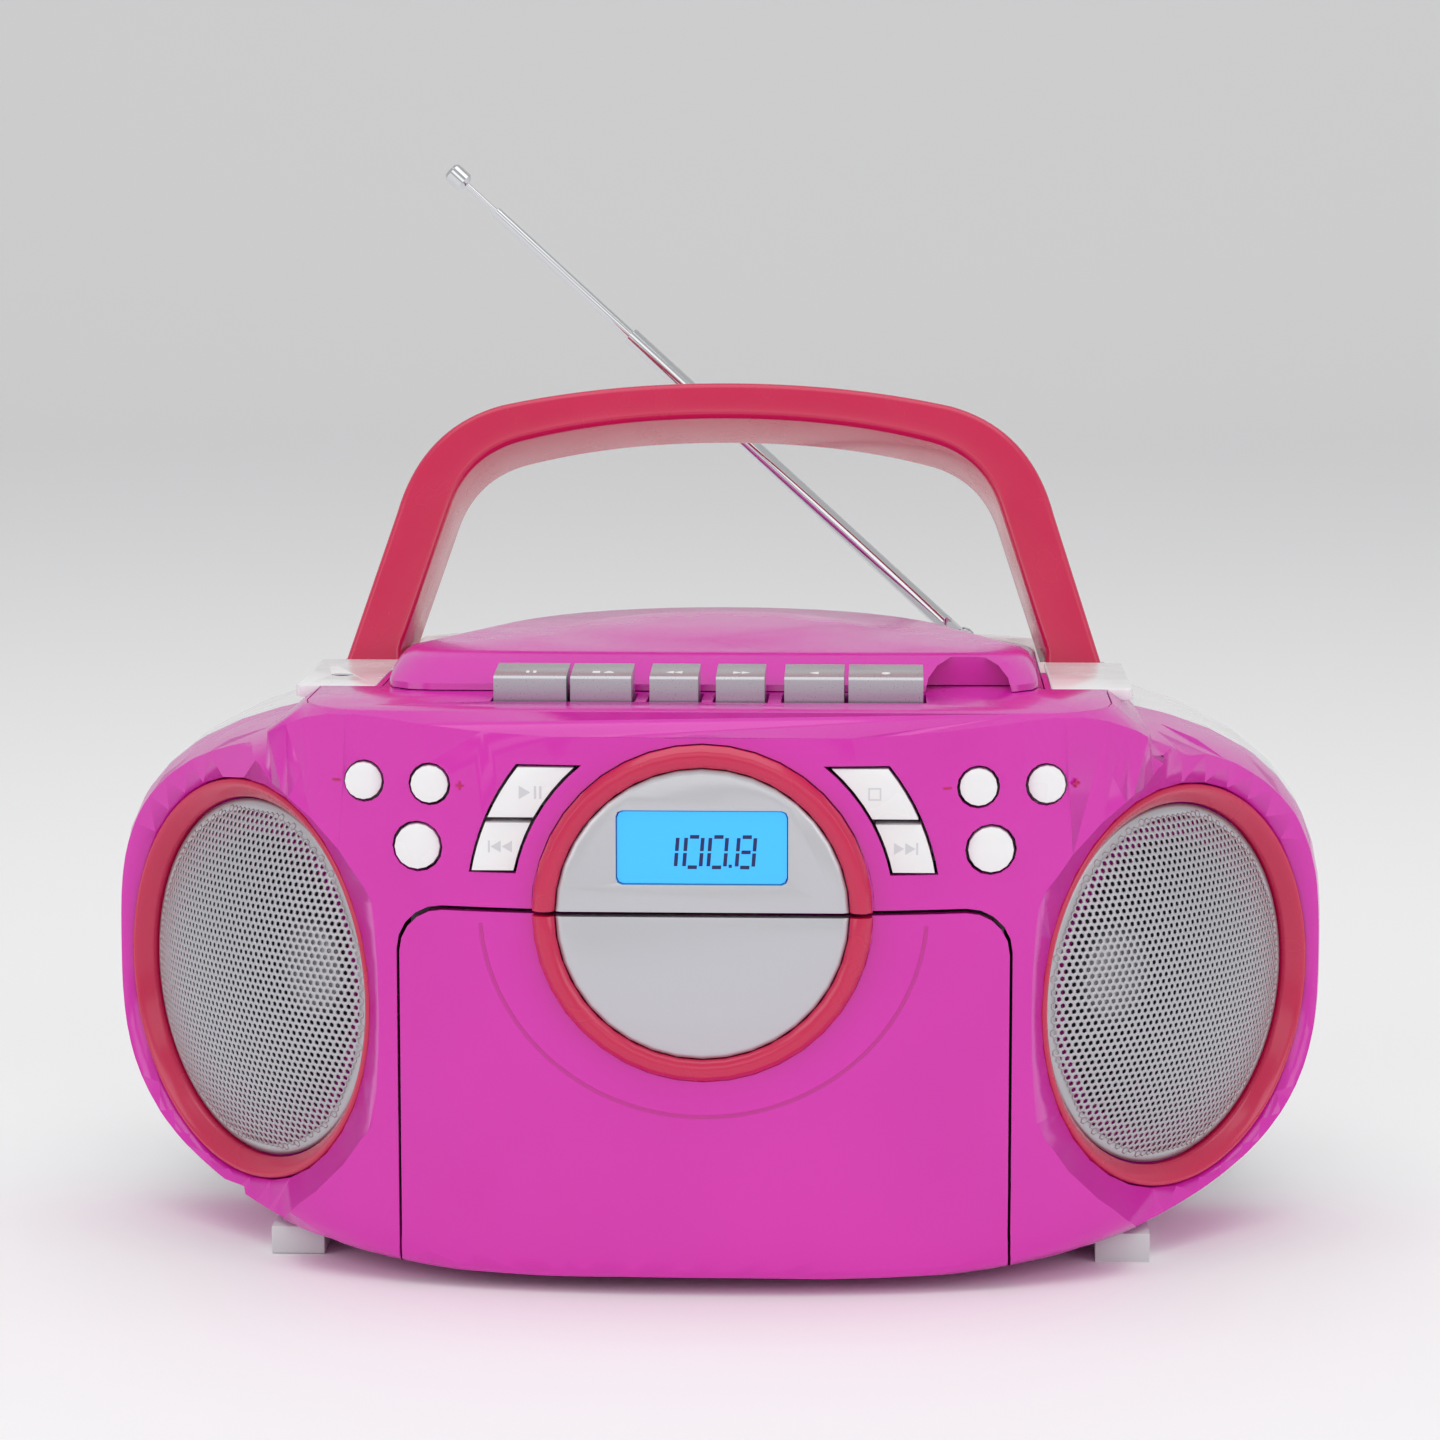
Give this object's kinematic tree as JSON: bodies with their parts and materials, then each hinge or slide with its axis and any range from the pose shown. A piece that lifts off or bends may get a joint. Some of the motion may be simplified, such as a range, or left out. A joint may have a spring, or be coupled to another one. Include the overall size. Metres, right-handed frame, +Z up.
{
  "type": "cassette player",
  "caption": "Portable cassette radio with a disc player on top, two angled speakers, a tape door in the front, piano keys, a carrying handle and a telescopic antenna.",
  "frame": {"origin": "on the ground, under the centre of the bounding box", "axes": "+X to the viewer's right across the front, +Y from the front to the back, +Z up"},
  "size_m": [0.326, 0.236, 0.2805],
  "materials": {
    "pink_shell": "glossy injection-moulded ABS",
    "white_shell": "glossy injection-moulded ABS",
    "red_trim": "glossy injection-moulded ABS",
    "silver_paint": "silver sprayed plastic disc, fine metallic",
    "silver_mesh": "perforated steel, silver enamel",
    "key_silver": "satin silver sprayed plastic",
    "display_window": "clear window over a blue lit display",
    "black_plastic": "moulded, fine texture",
    "chrome": "bright plated brass tube",
    "steel_plate": "zinc plated pressed steel",
    "rubber": "moulded rubber",
    "foot_plastic": "moulded, light grey",
    "paper_cone": "pressed paper pulp cone",
    "white_acetal": "moulded acetal",
    "board_laminate": "etched laminate with components",
    "iron_core": "varnished laminated core and copper winding"
  },
  "bodies": {
    "cabinet": {"front_cabinet": "pink_shell", "rear_shell": "white_shell", "top_deck": "pink_shell", "shoulder_panel_left": "white_shell", "shoulder_panel_right": "white_shell", "foot_left": "foot_plastic", "foot_right": "foot_plastic", "speaker_trim_left": "red_trim", "speaker_grille_left": "silver_mesh", "speaker_cone_left": "paper_cone", "speaker_driver_left": "steel_plate", "speaker_trim_right": "red_trim", "speaker_grille_right": "silver_mesh", "speaker_cone_right": "paper_cone", "speaker_driver_right": "steel_plate", "display_ring_upper": "red_trim", "display_bezel": "silver_paint", "lcd_panel": "display_window", "cd_chassis": "steel_plate", "tape_chassis": "steel_plate", "tape_motor": "steel_plate", "tape_belt": "rubber", "main_board": "board_laminate", "transformer": "iron_core", "ac_inlet": "black_plastic", "headphone_jack": "black_plastic"},
    "tape_door": {"cassette_door": "pink_shell", "cassette_holder": "black_plastic", "door_ring_lower": "red_trim", "door_badge_plate": "silver_paint"},
    "disc_lid": {"cd_lid": "pink_shell"},
    "carry_handle": {"handle": "red_trim"},
    "battery_hatch": {"battery_cover": "white_shell"},
    "antenna_foot": {"antenna_swivel": "chrome"},
    "antenna_base": {"antenna_tube_1": "chrome"},
    "antenna_middle": {"antenna_tube_2": "chrome"},
    "antenna_tip": {"antenna_tube_3": "chrome"},
    "disc_table": {"cd_turntable": "black_plastic"},
    "laser_sled": {"cd_laser_sled": "black_plastic"},
    "capstan": {"tape_flywheel": "steel_plate"},
    "reel_left": {"tape_reel_left": "white_acetal"},
    "reel_right": {"tape_reel_right": "white_acetal"},
    "head_bridge": {"tape_head_bridge": "steel_plate"},
    "pinch_roller": {"tape_pinch_roller": "rubber"},
    "key_pause_body": {"key_pause": "key_silver"},
    "key_stop_eject_body": {"key_stop_eject": "key_silver"},
    "key_fast_forward_body": {"key_fast_forward": "key_silver"},
    "key_rewind_body": {"key_rewind": "key_silver"},
    "key_play_body": {"key_play": "key_silver"},
    "key_record_body": {"key_record": "key_silver"},
    "button_preset_down_body": {"button_preset_down": "white_shell"},
    "button_preset_up_body": {"button_preset_up": "white_shell"},
    "button_volume_down_body": {"button_volume_down": "white_shell"},
    "button_volume_up_body": {"button_volume_up": "white_shell"},
    "button_program_body": {"button_program": "white_shell"},
    "button_function_body": {"button_function": "white_shell"},
    "button_disc_play_body": {"button_disc_play": "white_shell"},
    "button_skip_back_body": {"button_skip_back": "white_shell"},
    "button_disc_stop_body": {"button_disc_stop": "white_shell"},
    "button_skip_forward_body": {"button_skip_forward": "white_shell"}
  },
  "joints": [
    {"name": "tape_door_hinge", "type": "hinge", "parent": "cabinet", "child": "tape_door", "pos_m": [0, -0.1016, 0.0085], "axis": [1, 0, 0], "range_deg": [0, 26]},
    {"name": "disc_lid_hinge", "type": "hinge", "parent": "cabinet", "child": "disc_lid", "pos_m": [0, 0.0752, 0.149], "axis": [-1, 0, 0], "range_deg": [0, 42]},
    {"name": "handle_pivot", "type": "hinge", "parent": "cabinet", "child": "carry_handle", "pos_m": [0, 0.025, 0.125], "axis": [-1, 0, 0], "range_deg": [0, 20]},
    {"name": "battery_hatch_slide", "type": "slide", "parent": "cabinet", "child": "battery_hatch", "axis": [0, 1, 0], "range_m": [0, 0.03]},
    {"name": "antenna_turn", "type": "hinge", "parent": "cabinet", "child": "antenna_foot", "pos_m": [0.0676, 0.098, 0.134], "axis": [0, 0, 1], "range_deg": [-165, 0]},
    {"name": "antenna_tilt", "type": "hinge", "parent": "antenna_foot", "child": "antenna_base", "pos_m": [0.0676, 0.098, 0.142], "axis": [0.0958, 0.9954, 0], "range_deg": [-41, 48]},
    {"name": "antenna_slide_middle", "type": "slide", "parent": "antenna_base", "child": "antenna_middle", "axis": [-0.7397, 0.0712, 0.6691], "range_m": [-0.05, 0.05]},
    {"name": "antenna_slide_tip", "type": "slide", "parent": "antenna_middle", "child": "antenna_tip", "axis": [-0.7397, 0.0712, 0.6691], "range_m": [-0.011, 0.055]},
    {"name": "disc_spin", "type": "hinge", "parent": "cabinet", "child": "disc_table", "pos_m": [0, 0.008, 0.118], "axis": [0, 0, 1], "continuous": true},
    {"name": "laser_travel", "type": "slide", "parent": "cabinet", "child": "laser_sled", "axis": [1, 0, 0], "range_m": [-0.007, 0.017]},
    {"name": "capstan_spin", "type": "hinge", "parent": "cabinet", "child": "capstan", "pos_m": [-0.015, -0.084, 0.073], "axis": [0, 1, 0], "continuous": true},
    {"name": "reel_right_spin", "type": "hinge", "parent": "cabinet", "child": "reel_right", "pos_m": [0.02125, -0.09, 0.043], "axis": [0, 1, 0], "continuous": true},
    {"name": "reel_left_spin", "type": "hinge", "parent": "cabinet", "child": "reel_left", "pos_m": [-0.02125, -0.09, 0.043], "axis": [0, 1, 0], "continuous": true},
    {"name": "head_travel", "type": "slide", "parent": "cabinet", "child": "head_bridge", "axis": [0, 0, -1], "range_m": [0, 0.005], "stiffness_N_per_m": 200, "springref_m": -0.003},
    {"name": "pinch_spin", "type": "hinge", "parent": "head_bridge", "child": "pinch_roller", "pos_m": [-0.0165, -0.094, 0.0844], "axis": [0, 1, 0], "continuous": true},
    {"name": "key_pause_press", "type": "hinge", "parent": "cabinet", "child": "key_pause_body", "pos_m": [0, -0.0615, 0.1392], "axis": [1, 0, 0], "range_deg": [0, 6], "stiffness_Nm_per_rad": 0.8, "springref_deg": -2.29},
    {"name": "key_stop_eject_press", "type": "hinge", "parent": "cabinet", "child": "key_stop_eject_body", "pos_m": [0, -0.0615, 0.1392], "axis": [1, 0, 0], "range_deg": [0, 6], "stiffness_Nm_per_rad": 0.8, "springref_deg": -2.29},
    {"name": "key_fast_forward_press", "type": "hinge", "parent": "cabinet", "child": "key_fast_forward_body", "pos_m": [0, -0.0615, 0.1392], "axis": [1, 0, 0], "range_deg": [0, 6], "stiffness_Nm_per_rad": 0.8, "springref_deg": -2.29},
    {"name": "key_rewind_press", "type": "hinge", "parent": "cabinet", "child": "key_rewind_body", "pos_m": [0, -0.0615, 0.1392], "axis": [1, 0, 0], "range_deg": [0, 6], "stiffness_Nm_per_rad": 0.8, "springref_deg": -2.29},
    {"name": "key_play_press", "type": "hinge", "parent": "cabinet", "child": "key_play_body", "pos_m": [0, -0.0615, 0.1392], "axis": [1, 0, 0], "range_deg": [0, 6], "stiffness_Nm_per_rad": 0.8, "springref_deg": -2.29},
    {"name": "key_record_press", "type": "hinge", "parent": "cabinet", "child": "key_record_body", "pos_m": [0, -0.0615, 0.1392], "axis": [1, 0, 0], "range_deg": [0, 6], "stiffness_Nm_per_rad": 0.8, "springref_deg": -2.29},
    {"name": "button_preset_down_press", "type": "slide", "parent": "cabinet", "child": "button_preset_down_body", "axis": [0, 1, 0], "range_m": [0, 0.001], "stiffness_N_per_m": 1500, "springref_m": -0.0005},
    {"name": "button_preset_up_press", "type": "slide", "parent": "cabinet", "child": "button_preset_up_body", "axis": [0, 1, 0], "range_m": [0, 0.001], "stiffness_N_per_m": 1500, "springref_m": -0.0005},
    {"name": "button_volume_down_press", "type": "slide", "parent": "cabinet", "child": "button_volume_down_body", "axis": [0, 1, 0], "range_m": [0, 0.001], "stiffness_N_per_m": 1500, "springref_m": -0.0005},
    {"name": "button_volume_up_press", "type": "slide", "parent": "cabinet", "child": "button_volume_up_body", "axis": [0, 1, 0], "range_m": [0, 0.001], "stiffness_N_per_m": 1500, "springref_m": -0.0005},
    {"name": "button_program_press", "type": "slide", "parent": "cabinet", "child": "button_program_body", "axis": [0, 1, 0], "range_m": [0, 0.001], "stiffness_N_per_m": 1500, "springref_m": -0.0005},
    {"name": "button_function_press", "type": "slide", "parent": "cabinet", "child": "button_function_body", "axis": [0, 1, 0], "range_m": [0, 0.001], "stiffness_N_per_m": 1500, "springref_m": -0.0005},
    {"name": "button_disc_play_press", "type": "slide", "parent": "cabinet", "child": "button_disc_play_body", "axis": [0, 1, 0], "range_m": [0, 0.001], "stiffness_N_per_m": 1500, "springref_m": -0.0005},
    {"name": "button_skip_back_press", "type": "slide", "parent": "cabinet", "child": "button_skip_back_body", "axis": [0, 1, 0], "range_m": [0, 0.001], "stiffness_N_per_m": 1500, "springref_m": -0.0005},
    {"name": "button_disc_stop_press", "type": "slide", "parent": "cabinet", "child": "button_disc_stop_body", "axis": [0, 1, 0], "range_m": [0, 0.001], "stiffness_N_per_m": 1500, "springref_m": -0.0005},
    {"name": "button_skip_forward_press", "type": "slide", "parent": "cabinet", "child": "button_skip_forward_body", "axis": [0, 1, 0], "range_m": [0, 0.001], "stiffness_N_per_m": 1500, "springref_m": -0.0005}
  ],
  "couplings": [
    {"joint": "key_play_press", "follows": "head_travel", "rad_per_m": 20.94},
    {"joint": "reel_left_spin", "follows": "capstan_spin", "ratio": 0.0667}
  ]
}
